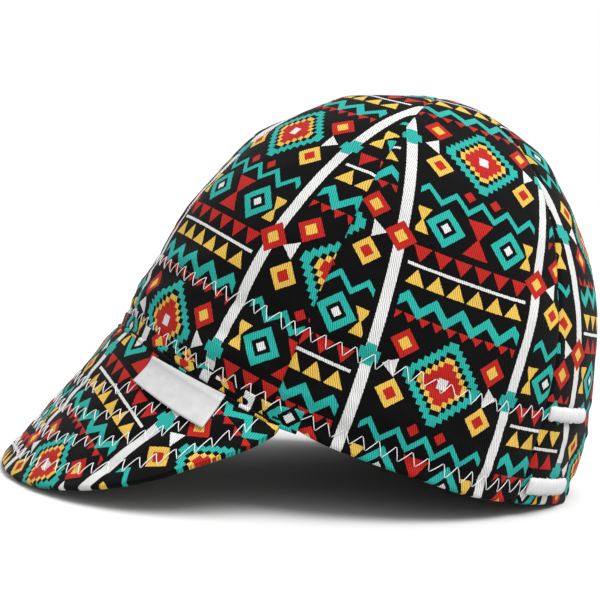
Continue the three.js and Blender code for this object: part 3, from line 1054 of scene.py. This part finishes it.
    def gore(self, name: str, start: float, end: float) -> bpy.types.Object:
        """Makes one gore between two seams.

        Args:
            name: the panel and side, such as front_left.
            start: the first seam, in degrees from the front.
            end: the second seam.

        Returns:
            The dressed piece.
        """
        share = np.linspace(-1, 1, self.columns + 1)
        across = np.sign(share) * (1 - (1 - np.abs(share)) ** 1.3)
        middle, half = math.radians((start + end) / 2), math.radians((end - start) / 2)
        spread = self._spreads(middle + across * half)
        inset = np.minimum(half / 2, self.seam_inset / (spread * self.form.half_width))
        angle = middle + across[None, :] * (half - inset)
        outer = self.outside(angle, spread)
        point, normal = self.form.crown(angle, spread)
        height = point[..., 2] - self.form.hem_height(angle)
        seam = self.form.seam_distance(angle, spread)
        beside = 1 - ease((seam - self.allowance_width) / (1.2 * MM))
        allowance = self.allowance * beside * ease((height - self.allowance_low) / (3 * MM))
        depth = self.form.wall - self.fold_rise(angle, height) - self.swell_rise(point) + allowance
        inner = self.sagged(point - normal * depth[..., None], angle, height)
        cloth = self._flat(point, self.columns // 2)
        faced = (self.finishes.twill, self.finishes.reverse)
        piece = self.weaver.sheet(f"crown_{name}", outer, inner, self._cut(cloth, name), faced)
        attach(piece, "root")
        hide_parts(f"gore_{name}")
        return piece

    @staticmethod
    def _area(grid: Grid) -> float:
        """Returns the area of a grid of points."""
        one, two = grid[1:, 1:] - grid[:-1, :-1], grid[1:, :-1] - grid[:-1, 1:]
        return float(np.linalg.norm(np.cross(one, two), axis=-1).sum() / 2)

    @staticmethod
    def _flat(points: Grid, middle: int) -> Grid:
        """Lays a gore out flat from its middle line."""
        along = np.linalg.norm(np.diff(points[:, middle], axis=0), axis=-1)
        along = np.concatenate([[0], np.cumsum(along)])
        steps = np.linalg.norm(np.diff(points, axis=1), axis=-1)
        across = np.concatenate([np.zeros((len(points), 1)), np.cumsum(steps, axis=1)], 1)
        across = across - across[:, middle : middle + 1]
        return np.stack([across, np.broadcast_to(along[:, None], across.shape)], -1)

    def _cut(self, flat: Grid, name: str) -> Grid:
        """Places a flat gore where it was cut from the cloth."""
        across, along, way, slant = self.cuts[name]
        c, s = way * math.cos(math.radians(slant)), way * math.sin(math.radians(slant))
        x, y = flat[..., 0], flat[..., 1]
        return np.stack([c * x - s * y + across * MM, s * x + c * y + along * MM], -1)

    def zigzag(self, name: str, upper: bool) -> bpy.types.Object:
        """Sews one row of zigzag stitches round the hem, from one satin bar to the other.

        Args:
            name: the row's name.
            upper: whether it is the upper row.

        Returns:
            The dressed piece.
        """
        steady = np.random.default_rng(36 if upper else 7)
        reach = math.radians(self.form.seams[2] + 2)
        count = int(2 * reach * self.form.half_length / self.zigzag_pitch)
        turn = reach * np.linspace(-1, 1, count)
        pitch = turn[1] - turn[0]
        top = turn + steady.normal(0, 0.05, count) * pitch
        bottom = turn + (self.zigzag_lean + steady.normal(0, 0.05, count)) * pitch
        wander = 0.4 * MM * np.sin(turn * 9 + upper)
        row = (self.form.upper_row_at(turn) if upper else self.form.lower_row) + wander
        half = self.zigzag_height / 2 * (1 + steady.normal(0, 0.07, (2, count)))
        high, low = self._on_cloth(top, row + half[0]), self._on_cloth(bottom, row - half[1])
        starts = np.concatenate([high, low[:-1]])
        ends = np.concatenate([low, high[1:]])
        spread = self.form.spread_at(turn, row)
        normal = self.form.crown(turn, spread)[1]
        normal = np.concatenate([normal, normal[:-1]])
        piece = Threads().sew(f"stitches_{name}", starts, ends, self.form.tipped(normal))
        piece.data.materials.append(self.finishes.thread)
        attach(piece, "root")
        LOG.info("%s: %d stitches", name, len(starts))
        return piece

    def _on_cloth(self, angle: Grid, height: Grid) -> Grid:
        """Returns seated points on the outside of the cloth, level across the seams between gores."""
        spread = self.form.spread_at(angle, height)
        seam = self.form.seam_distance(angle, spread)
        over = self.groove * np.exp(-((seam / self.groove_width / 1.6) ** 2))
        return self.form.seat(self.outside(angle, spread, over))

    def build(self) -> None:
        """Makes the six gores and the two rows."""
        panels = list(zip(("front", "side", "back"), self.form.seams[:-1], self.form.seams[1:]))
        for side in Side:
            for panel, start, end in panels:
                ends = (start, end) if side is Side.LEFT else (-end, -start)
                self.gore(f"{panel}_{side.name.lower()}", *ends)
        self.zigzag("lower_row", upper=False)
        self.zigzag("upper_row", upper=True)


@dataclass
class Bill:
    """The quilted bill with its four rows of stitches and the fold along its seam."""

    form: CapForm
    weaver: Weaver
    finishes: Finishes
    columns: int = 230
    rows: int = 90
    row_count: int = 4
    row_inset: float = 9.5 * MM
    row_pitch: float = 12.2 * MM
    row_drift: float = 2.6 * MM
    dip: float = 0.75 * MM
    dip_width: float = 2.8 * MM
    puff: float = 0.9 * MM
    puff_place: float = 7 * MM
    zigzag_pitch: float = 6.3 * MM
    zigzag_height: float = 5.8 * MM
    zigzag_lean: float = 0.64
    zigzag_slack: float = 1.25
    row_end: float = 1.5 * MM
    flat_radius: float = 200 * MM
    cut: tuple[float, float] = (50 * MM, 26 * MM)
    lift: float = 1.2 * MM
    trim: float = 0.993
    end_trim: float = 0.06
    end_trim_place: float = 0.86
    end_trim_width: float = 0.09
    fold_reach: float = 65.0
    fold_start: float = 56.0
    fold_drop: float = 2.0 * MM
    fold_end_drop: float = 0.3 * MM
    fold_lip: float = 1.2 * MM
    fold_top: float = 0.5 * MM
    fold_bulge: float = 1.1 * MM
    fold_depth: float = 0.35 * MM
    fold_width: float = 10 * MM
    fold_wall: float = 0.4 * MM
    fold_cut: tuple[float, float] = (33 * MM, 70 * MM)

    def inset(self, turn: Grid, share: Grid) -> Grid:
        """Returns how far points of the bill are from its outer edge."""
        rim_turn = np.linspace(-1, 1, 500)
        rim = self.form.bill(rim_turn, np.ones_like(rim_turn), np.zeros_like(rim_turn))
        points = self.form.bill(turn, share, np.zeros_like(share))
        flat = points.reshape(-1, 3)
        nearest = [np.linalg.norm(rim - point, axis=1).min() for point in flat]
        return np.array(nearest).reshape(share.shape)

    def row_line(self, row: int, turn: Grid) -> Grid:
        """Returns how far a row of stitches is from the outer edge, which it nears at the bill's ends."""
        return self.row_inset + row * self.row_pitch - self.row_drift * np.sin(turn * math.pi / 2) ** 2

    def upper(self, turn: Grid, share: Grid, depth: Grid, inset: Grid) -> Grid:
        """Returns the bill's upper face, pulled down along its rows and puffed between them.

        Args:
            turn: -1 to 1 along the bill seam.
            share: 0 at the seam and 1 at the outer edge.
            depth: depth below the smooth upper face.
            inset: distance from the outer edge.

        Returns:
            Points in the plane of the hem.
        """
        length = self.form.bill_rib(turn)[2]
        smooth = self.form.bill(turn, share, np.zeros_like(share))
        dip = np.zeros_like(share)
        for row in range(self.row_count):
            line = self.row_line(row, turn)
            dip = dip + self.dip * np.exp(-(((inset - line) / self.dip_width) ** 2))
        down = length * share
        puff = self.puff * np.exp(-(((down - self.puff_place) / self.puff_place) ** 2))
        lumps = 0.55 * MM * rough(smooth, 17 * MM, 5.5) + 0.25 * MM * rough(smooth, 6 * MM, 9.1)
        return self.face(turn, share, depth + dip - puff - lumps)

    def face(self, turn: Grid, share: Grid, depth: Grid) -> Grid:
        """Returns points of the bill as it springs a little outwards from its plain form."""
        away = (np.abs(np.sin(turn * math.pi / 2)) - self.end_trim_place) / self.end_trim_width
        trim = self.trim - self.end_trim * np.exp(-(away**2))
        return self.form.bill(turn, share * trim, depth - self.lift * share)

    def _shares(self) -> tuple[Grid, Grid]:
        """Returns the shares of the bill's length down its face and the depths that round its edge."""
        down = 1 - np.linspace(1, 0, self.rows) ** 1.15
        edge = self.form.bill_wall / 2
        inset = np.maximum(0, edge - (1 - down) * self.form.bill_length)
        lost = edge - np.sqrt(np.maximum(edge**2 - inset**2, 0))
        return down, lost * (1 - self.form.bill_taper)

    def build(self) -> None:
        """Makes the bill, its fold and its rows of stitches."""
        turn = np.linspace(-1, 1, self.columns + 1)
        down, lost = self._shares()
        turns, shares = np.meshgrid(turn, down[::-1])
        depths = np.broadcast_to(lost[::-1][:, None], shares.shape)
        inset = self.inset(turns, shares)
        upper = self.upper(turns, shares, depths, inset)
        under = self.face(turns, shares, self.form.bill_wall - depths)
        faced = (self.finishes.twill, self.finishes.twill)
        piece = self.weaver.sheet("quilted_bill", upper, under, self._flat(turns, shares), faced)
        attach(piece, "root")
        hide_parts("bill")
        LOG.info("bill: %d faces", len(piece.data.polygons))
        for row in range(self.row_count):
            self.zigzag(row, turn, inset, shares)
        self.seam_fold()

    def _flat(self, turns: Grid, shares: Grid) -> Grid:
        """Lays the bill out flat as a crescent."""
        angle, _, length = self.form.bill_rib(turns)
        radius = self.flat_radius + length * shares
        bend = angle * self.form.mean_radius / self.flat_radius
        x, y = radius * np.sin(bend), self.flat_radius - radius * np.cos(bend)
        return np.stack([x + self.cut[0], y + self.cut[1]], -1)

    def zigzag(self, row: int, turn: Grid, inset: Grid, shares: Grid) -> None:
        """Sews one row of stitches beside the bill's outer edge, through to its underside.

        Args:
            row: 0 for the row nearest the edge.
            turn: turn of each column of the bill.
            inset: distance from the edge at each point of the bill.
            shares: share of the length at each point of the bill.
        """
        steady = np.random.default_rng(40 + row)
        half = self.zigzag_height / 2

        def share_at(place: Grid, wanted: Grid) -> Grid:
            """Returns the shares at which turns of the seam are the wanted distances from the edge."""
            column = np.interp(place, turn, np.arange(len(turn)))
            left = np.clip(column.astype(int), 0, len(turn) - 2)
            pair = []
            for beside in (left, left + 1):
                found = [np.interp(want, inset[:, c], shares[:, c]) for want, c in zip(wanted, beside)]
                pair.append(np.array(found))
            return pair[0] + (pair[1] - pair[0]) * (column - left)

        deep = inset[-1] > self.row_line(row, turn) + self.row_end
        fine = np.linspace(turn[deep].min(), turn[deep].max(), 1500)
        path = self.form.bill(fine, share_at(fine, self.row_line(row, fine)), np.zeros(len(fine)))
        walked = np.concatenate([[0], np.cumsum(np.linalg.norm(np.diff(path, axis=0), axis=1))])
        count = int(walked[-1] / self.zigzag_pitch)
        marks = np.linspace(0, walked[-1], count)
        jitter = steady.normal(0, 0.05, (2, count)) * self.zigzag_pitch
        reach = half * (1 + steady.normal(0, 0.08, (2, count)))
        above, below = [], []
        for shift, aside in ((0.0, reach[0]), (self.zigzag_lean, -reach[1])):
            place = np.interp(marks + shift * self.zigzag_pitch + jitter[len(above)], walked, fine)
            line = self.row_line(row, place)
            want = line + aside
            middle = share_at(place, line)
            limit = half * self.zigzag_slack / self.form.bill_rib(place)[2]
            share = middle + np.clip(share_at(place, want) - middle, -limit, limit)
            above.append(self.form.seat(self.upper(place, share, np.zeros(count), want)))
            below.append(self.form.seat(self.face(place, share, np.full(count, self.form.bill_wall))))
        middle = np.interp(np.concatenate([marks[:-1], marks[:-1]]), walked, fine)
        half_way = np.full(len(middle), 0.5)
        top = self.form.bill(middle, half_way, np.zeros(len(middle)))
        low = self.form.bill(middle, half_way, np.full(len(middle), self.form.bill_wall))
        normal = self.form.tipped(unit(top - low))
        for name, (inner, outer), outward in (("", above, normal), ("_under", below, -normal)):
            starts = np.concatenate([inner[:-1], outer[:-1]])
            stops = np.concatenate([outer[:-1], inner[1:]])
            piece = Threads().sew(f"stitches_bill_{row + 1}{name}", starts, stops, outward)
            piece.data.materials.append(self.finishes.thread)
            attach(piece, "root")

    def seam_fold(self) -> bpy.types.Object:
        """Makes the strip folded over the bill's seam, which hangs below the hem at its two ends."""
        angle = np.radians(np.linspace(-self.fold_reach, self.fold_reach, 300))
        turn = np.degrees(np.abs(angle))
        tail = ease((turn - self.fold_start) / 3)
        end = np.maximum(0, (turn - self.fold_start) / (self.fold_reach - self.fold_start))
        hang = self.fold_drop - end * (self.fold_drop - self.fold_end_drop)
        drop = self.fold_lip + tail * (hang - self.fold_lip)
        bulge = self.fold_bulge * (1 - 0.6 * tail)
        around = angle * self.form.mean_radius
        hem = self.form.crown(angle, np.ones_like(angle))[0]
        outward = self.form.hem_outward(angle)
        bump = 0.12 * MM * rough(hem, 5 * MM, 1.7)
        swing = np.linspace(0, math.pi, 13)[:, None]
        half = (self.fold_top + drop) / 2
        out = bulge * np.sin(swing) + bump - self.fold_depth
        arc = np.stack([out, self.fold_top - half + half * np.cos(swing)], -1)
        spent = np.linalg.norm(np.diff(arc, axis=0), axis=-1).sum(0)
        climb = np.linspace(0, 1, 8)[1:, None] * (self.fold_width - spent)
        leg = np.stack([np.broadcast_to(bump - self.fold_depth, climb.shape), climb - drop], -1)
        path = np.concatenate([arc, leg])[::-1]
        slope = unit(np.gradient(path, axis=0))
        across = np.stack([slope[..., 1], -slope[..., 0]], -1)
        walked = np.linalg.norm(np.diff(path, axis=0, prepend=path[:1]), axis=-1).cumsum(0)
        faces = []
        for share in (0.5, -0.5):
            place = path + across * (share * self.fold_wall)
            points = hem + outward * place[..., :1]
            points[..., 2] += place[..., 1]
            faces.append(points)
        cloth = np.stack([np.broadcast_to(around, walked.shape), walked], -1) + np.array(self.fold_cut)
        faced = (self.finishes.twill, self.finishes.twill)
        piece = self.weaver.sheet("bill_seam_fold", *faces, cloth, faced)
        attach(piece, "root")
        return piece


@dataclass
class Sweatband:
    """The plain band that lines the hem."""

    form: CapForm
    weaver: Weaver
    finishes: Finishes
    wall: float = 1.2 * MM
    bottom: float = 3 * MM
    columns: int = 260
    rows: int = 26

    def build(self) -> None:
        """Makes the band."""
        angle = np.linspace(0, 2 * math.pi, self.columns, endpoint=False)
        angles, share = np.meshgrid(angle, np.linspace(0, 1, self.rows))
        top = self.form.upper_row_at(angles)
        heights = self.bottom + (top - self.bottom) * share
        point, normal = self.form.crown(angles, self.form.spread_at(angles, heights))
        close = np.minimum(heights - self.bottom, top - heights)
        rolled = 0.35 * MM * (1 - ease(close / (1.2 * MM)))
        ripple = 0.25 * MM * rough(point * np.array([1, 1, 0.4]), 11 * MM, 2.2)
        outside = self.form.wall + self.form.seam_gap
        outer = point - normal * (outside + rolled)[..., None]
        inner = point - normal * (outside + self.wall - rolled + ripple)[..., None]
        around = np.broadcast_to(angle * self.form.mean_radius, angles.shape)
        cloth = np.stack([around, heights], -1)
        faced = (self.finishes.band, self.finishes.band)
        piece = self.weaver.sheet("inner_band", outer, inner, cloth, faced, ring=True)
        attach(piece, "root")
        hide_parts("sweatband")


@dataclass
class SatinBars:
    """White bars of close satin stitches over the ends of the hem's rows."""

    form: CapForm
    weaver: Weaver
    finishes: Finishes
    start: float = 123.0
    end: float = 142.0
    thread: float = 0.46 * MM
    rise: float = 1.35 * MM
    edge: float = 0.35 * MM
    rib: float = 0.06 * MM
    fray: float = 0.2 * MM
    steps: int = 4
    rows: tuple[tuple[str, float, float], ...] = (("upper", 36 * MM, 5.5 * MM), ("lower", 7 * MM, 6.5 * MM))
    fullness: tuple[float, ...] = (0, 0.55, 0.82, 0.96, 1, 0.96, 0.82, 0.55, 0)

    def bar(self, name: str, side: Side, height: float, width: float) -> bpy.types.Object:
        """Makes one bar as rounded threads laid side by side.

        Args:
            name: upper or lower.
            side: the wearer's side.
            height: the bar's middle above the hem.
            width: the threads' length, across the row.

        Returns:
            The dressed piece.
        """
        steady = np.random.default_rng(90 + int(height / MM) + side.value)
        span = math.radians(self.end - self.start) * self.form.half_width
        count = int(span / self.thread)
        place = np.arange(count * self.steps + 1) / (count * self.steps)
        if side is Side.RIGHT:
            place = place[::-1]
        angle = side.value * np.radians(self.start + (self.end - self.start) * place)
        scallop = np.abs(np.sin(place * count * math.pi)) ** 0.7
        full = np.array(self.fullness)
        ends = np.repeat(steady.normal(0, self.fray, (2, count + 1)), self.steps, axis=1)[:, : len(place)]
        share = np.linspace(-0.5, 0.5, len(full))
        share = share[:, None]
        up = height + width * share + np.where(share > 0, ends[:1], ends[1:]) * (2 * share)
        angles = np.broadcast_to(angle, up.shape)
        point, normal = self.form.crown(angles, self.form.spread_at(angles, up))
        puff = self.edge + (self.rise - self.edge) * full[:, None] ** 0.8
        puff = puff - self.rib * (1 - scallop)[None, :]
        ease_in = ease(np.minimum(place, 1 - place) * span / (1.2 * MM))[None, :]
        base = self.form.seam_gap - 0.5 * MM
        outer = point + normal * (base + 0.45 * MM + (puff * (0.35 + 0.65 * ease_in)))[..., None]
        inner = point + normal * base
        cloth = np.stack([up, np.broadcast_to(place * span, up.shape)], -1)
        faced = (self.finishes.satin, self.finishes.satin)
        piece = self.weaver.sheet(f"satin_bar_{name}_{side.name.lower()}", outer, inner, cloth, faced)
        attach(piece, "root")
        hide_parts(f"bar_{name}_{side.name.lower()}")
        return piece

    def build(self) -> None:
        """Makes the four bars."""
        for side in Side:
            for name, height, width in self.rows:
                self.bar(name, side, height, width)
        LOG.info("satin bars: 4")


@dataclass
class Label:
    """A folded white satin tab in the bill seam, with nothing on it."""

    form: CapForm
    weaver: Weaver
    finishes: Finishes
    start: float = 25.0
    end: float = 47.5
    top: tuple[float, float] = (1.7 * MM, -1.0 * MM)
    foot: tuple[float, float] = (14.6 * MM, 16.2 * MM)
    drop: float = 15 * MM
    width: float = 38 * MM
    wall: float = 0.5 * MM
    lift: float = 1.6 * MM
    hem_edge: float = 2.2 * MM
    columns: int = 76
    rows: int = 40

    def build(self) -> None:
        """Makes the label."""
        share = np.linspace(0, 1, self.columns + 1)
        turn = self.form.bill_turn(np.radians(self.start + (self.end - self.start) * share))
        turns, downs = np.meshgrid(turn, np.linspace(1, 0, self.rows + 1))
        length = self.form.bill_rib(turns)[2]
        top = self.top[0] + (self.top[1] - self.top[0]) * share
        foot = self.foot[0] + (self.foot[1] - self.foot[0]) * share
        down = top + (foot - top) * downs
        shares = np.maximum(down, 0) / length
        place = self.form.bill(turns, shares, np.zeros_like(shares))
        above = np.minimum(down, 0)
        wave = 0.3 * MM * rough(place, 12 * MM, 4.4) + 0.35 * MM * downs * np.sin(turns * 11)
        fold = 0.25 * MM * np.exp(-(((down - self.hem_edge) / (1.3 * MM)) ** 2))
        across, along = np.minimum(share, 1 - share), np.minimum(1 - downs, downs)
        edge = np.minimum(along * self.drop, across * self.width)
        rounded = self.wall * (0.3 + 0.7 * np.sqrt(np.clip(edge / (0.5 * MM), 0, 1)))
        lift = self.lift * (1 - 0.4 * ease(downs * 2.2)) + 0.7 * MM * downs**2 + wave + fold
        faces = []
        for raised in (lift + rounded, lift - 0.25 * MM):
            points = self.form.bill(turns, shares, -raised)
            points[..., 2] -= above
            faces.append(points)
        cloth = np.stack([np.broadcast_to(share * self.width, turns.shape), downs * self.drop], -1)
        faced = (self.finishes.label, self.finishes.label)
        piece = self.weaver.sheet("blank_label", *faces, cloth, faced)
        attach(piece, "root")
        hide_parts("label")
        LOG.info("label: %.0f x %.1f mm", self.width / MM, self.drop / MM)


@dataclass
class Studio:
    """The camera at the photograph's angle, a pale floor and soft lights."""

    form: CapForm
    eye_turn: float = math.radians(73.64)
    eye_rise: float = math.radians(-0.71)
    eye_distance: float = 659.6 * MM
    eye_roll: float = math.radians(21.1)
    aim: tuple[float, float, float] = (0.5 * MM, -35.3 * MM, 39.3 * MM)
    lens: float = 95.77
    floor_size: float = 60.0
    light: float = 4.0
    light_spread: float = math.radians(50)
    light_from: tuple[float, float, float] = (0.4, 0.55, 1.5)

    def camera(self) -> None:
        """Sets the camera by its place in the plane of the hem."""
        turn, rise = self.eye_turn, self.eye_rise
        away = np.array([math.sin(turn) * math.cos(rise), -math.cos(turn) * math.cos(rise), math.sin(rise)])
        right = np.array([math.cos(turn), math.sin(turn), 0.0])
        up = np.cross(away, right)
        right, up = (
            right * math.cos(self.eye_roll) + up * math.sin(self.eye_roll),
            up * math.cos(self.eye_roll) - right * math.sin(self.eye_roll),
        )
        place = self.form.tipped(np.array(self.aim) + away * self.eye_distance) + self.form.place
        axes = [self.form.tipped(axis) for axis in (right, up, away)]
        data = bpy.data.cameras.new("photo_camera")
        data.lens = self.lens
        data.clip_start = 0.01
        camera = bpy.data.objects.new("photo_camera", data)
        matrix = Matrix([[axes[column][row] for column in range(3)] for row in range(3)]).to_4x4()
        matrix.translation = Vector(place)
        camera.matrix_world = matrix
        bpy.context.scene.collection.objects.link(camera)
        bpy.context.scene.camera = camera
        LOG.info("camera at %s", np.round(place, 4))

    def sky_light(self) -> None:
        """Adds one wide soft light from above, on the side of the cap's back."""
        data = bpy.data.lights.new("sky_light", "SUN")
        data.energy = self.light
        data.angle = self.light_spread
        lamp = bpy.data.objects.new("sky_light", data)
        lamp.location = self.light_from
        lamp.rotation_euler = Vector(self.light_from).to_track_quat("Z", "Y").to_euler()
        bpy.context.scene.collection.objects.link(lamp)

    def build(self) -> None:
        """Makes the floor, the lights and the camera."""
        self.camera()
        bpy.ops.object.select_all(action="DESELECT")
        bpy.ops.mesh.primitive_plane_add(size=self.floor_size)
        floor = bpy.context.object
        floor.name = "floor"
        floor.location = (0, 0, -0.0004)
        material = bpy.data.materials.new("pale_floor")
        material.use_nodes = True
        shader = material.node_tree.nodes["Principled BSDF"]
        shader.inputs["Base Color"].default_value = (0.55, 0.55, 0.55, 1)
        shader.inputs["Roughness"].default_value = 0.9
        floor.data.materials.append(material)
        world = bpy.data.worlds.new("studio")
        bpy.context.scene.world = world
        world.use_nodes = True
        world.node_tree.nodes["Background"].inputs["Color"].default_value = (1, 1, 1, 1)
        world.node_tree.nodes["Background"].inputs["Strength"].default_value = 1.0
        self.sky_light()
        bpy.context.scene.view_settings.view_transform = "Standard"


def main() -> None:
    """Builds the cap's pieces in order."""
    logging.basicConfig(level=logging.INFO, format="%(message)s")
    form = CapForm()
    Studio(form).build()
    weaver, finishes = Weaver(form), Finishes()
    crown = Crown(form, weaver, finishes)
    crown.build()
    bill = Bill(form, weaver, finishes)
    bill.build()
    Sweatband(form, weaver, finishes).build()
    SatinBars(form, weaver, finishes).build()
    Label(form, weaver, finishes).build()


if __name__ == "__main__":
    main()
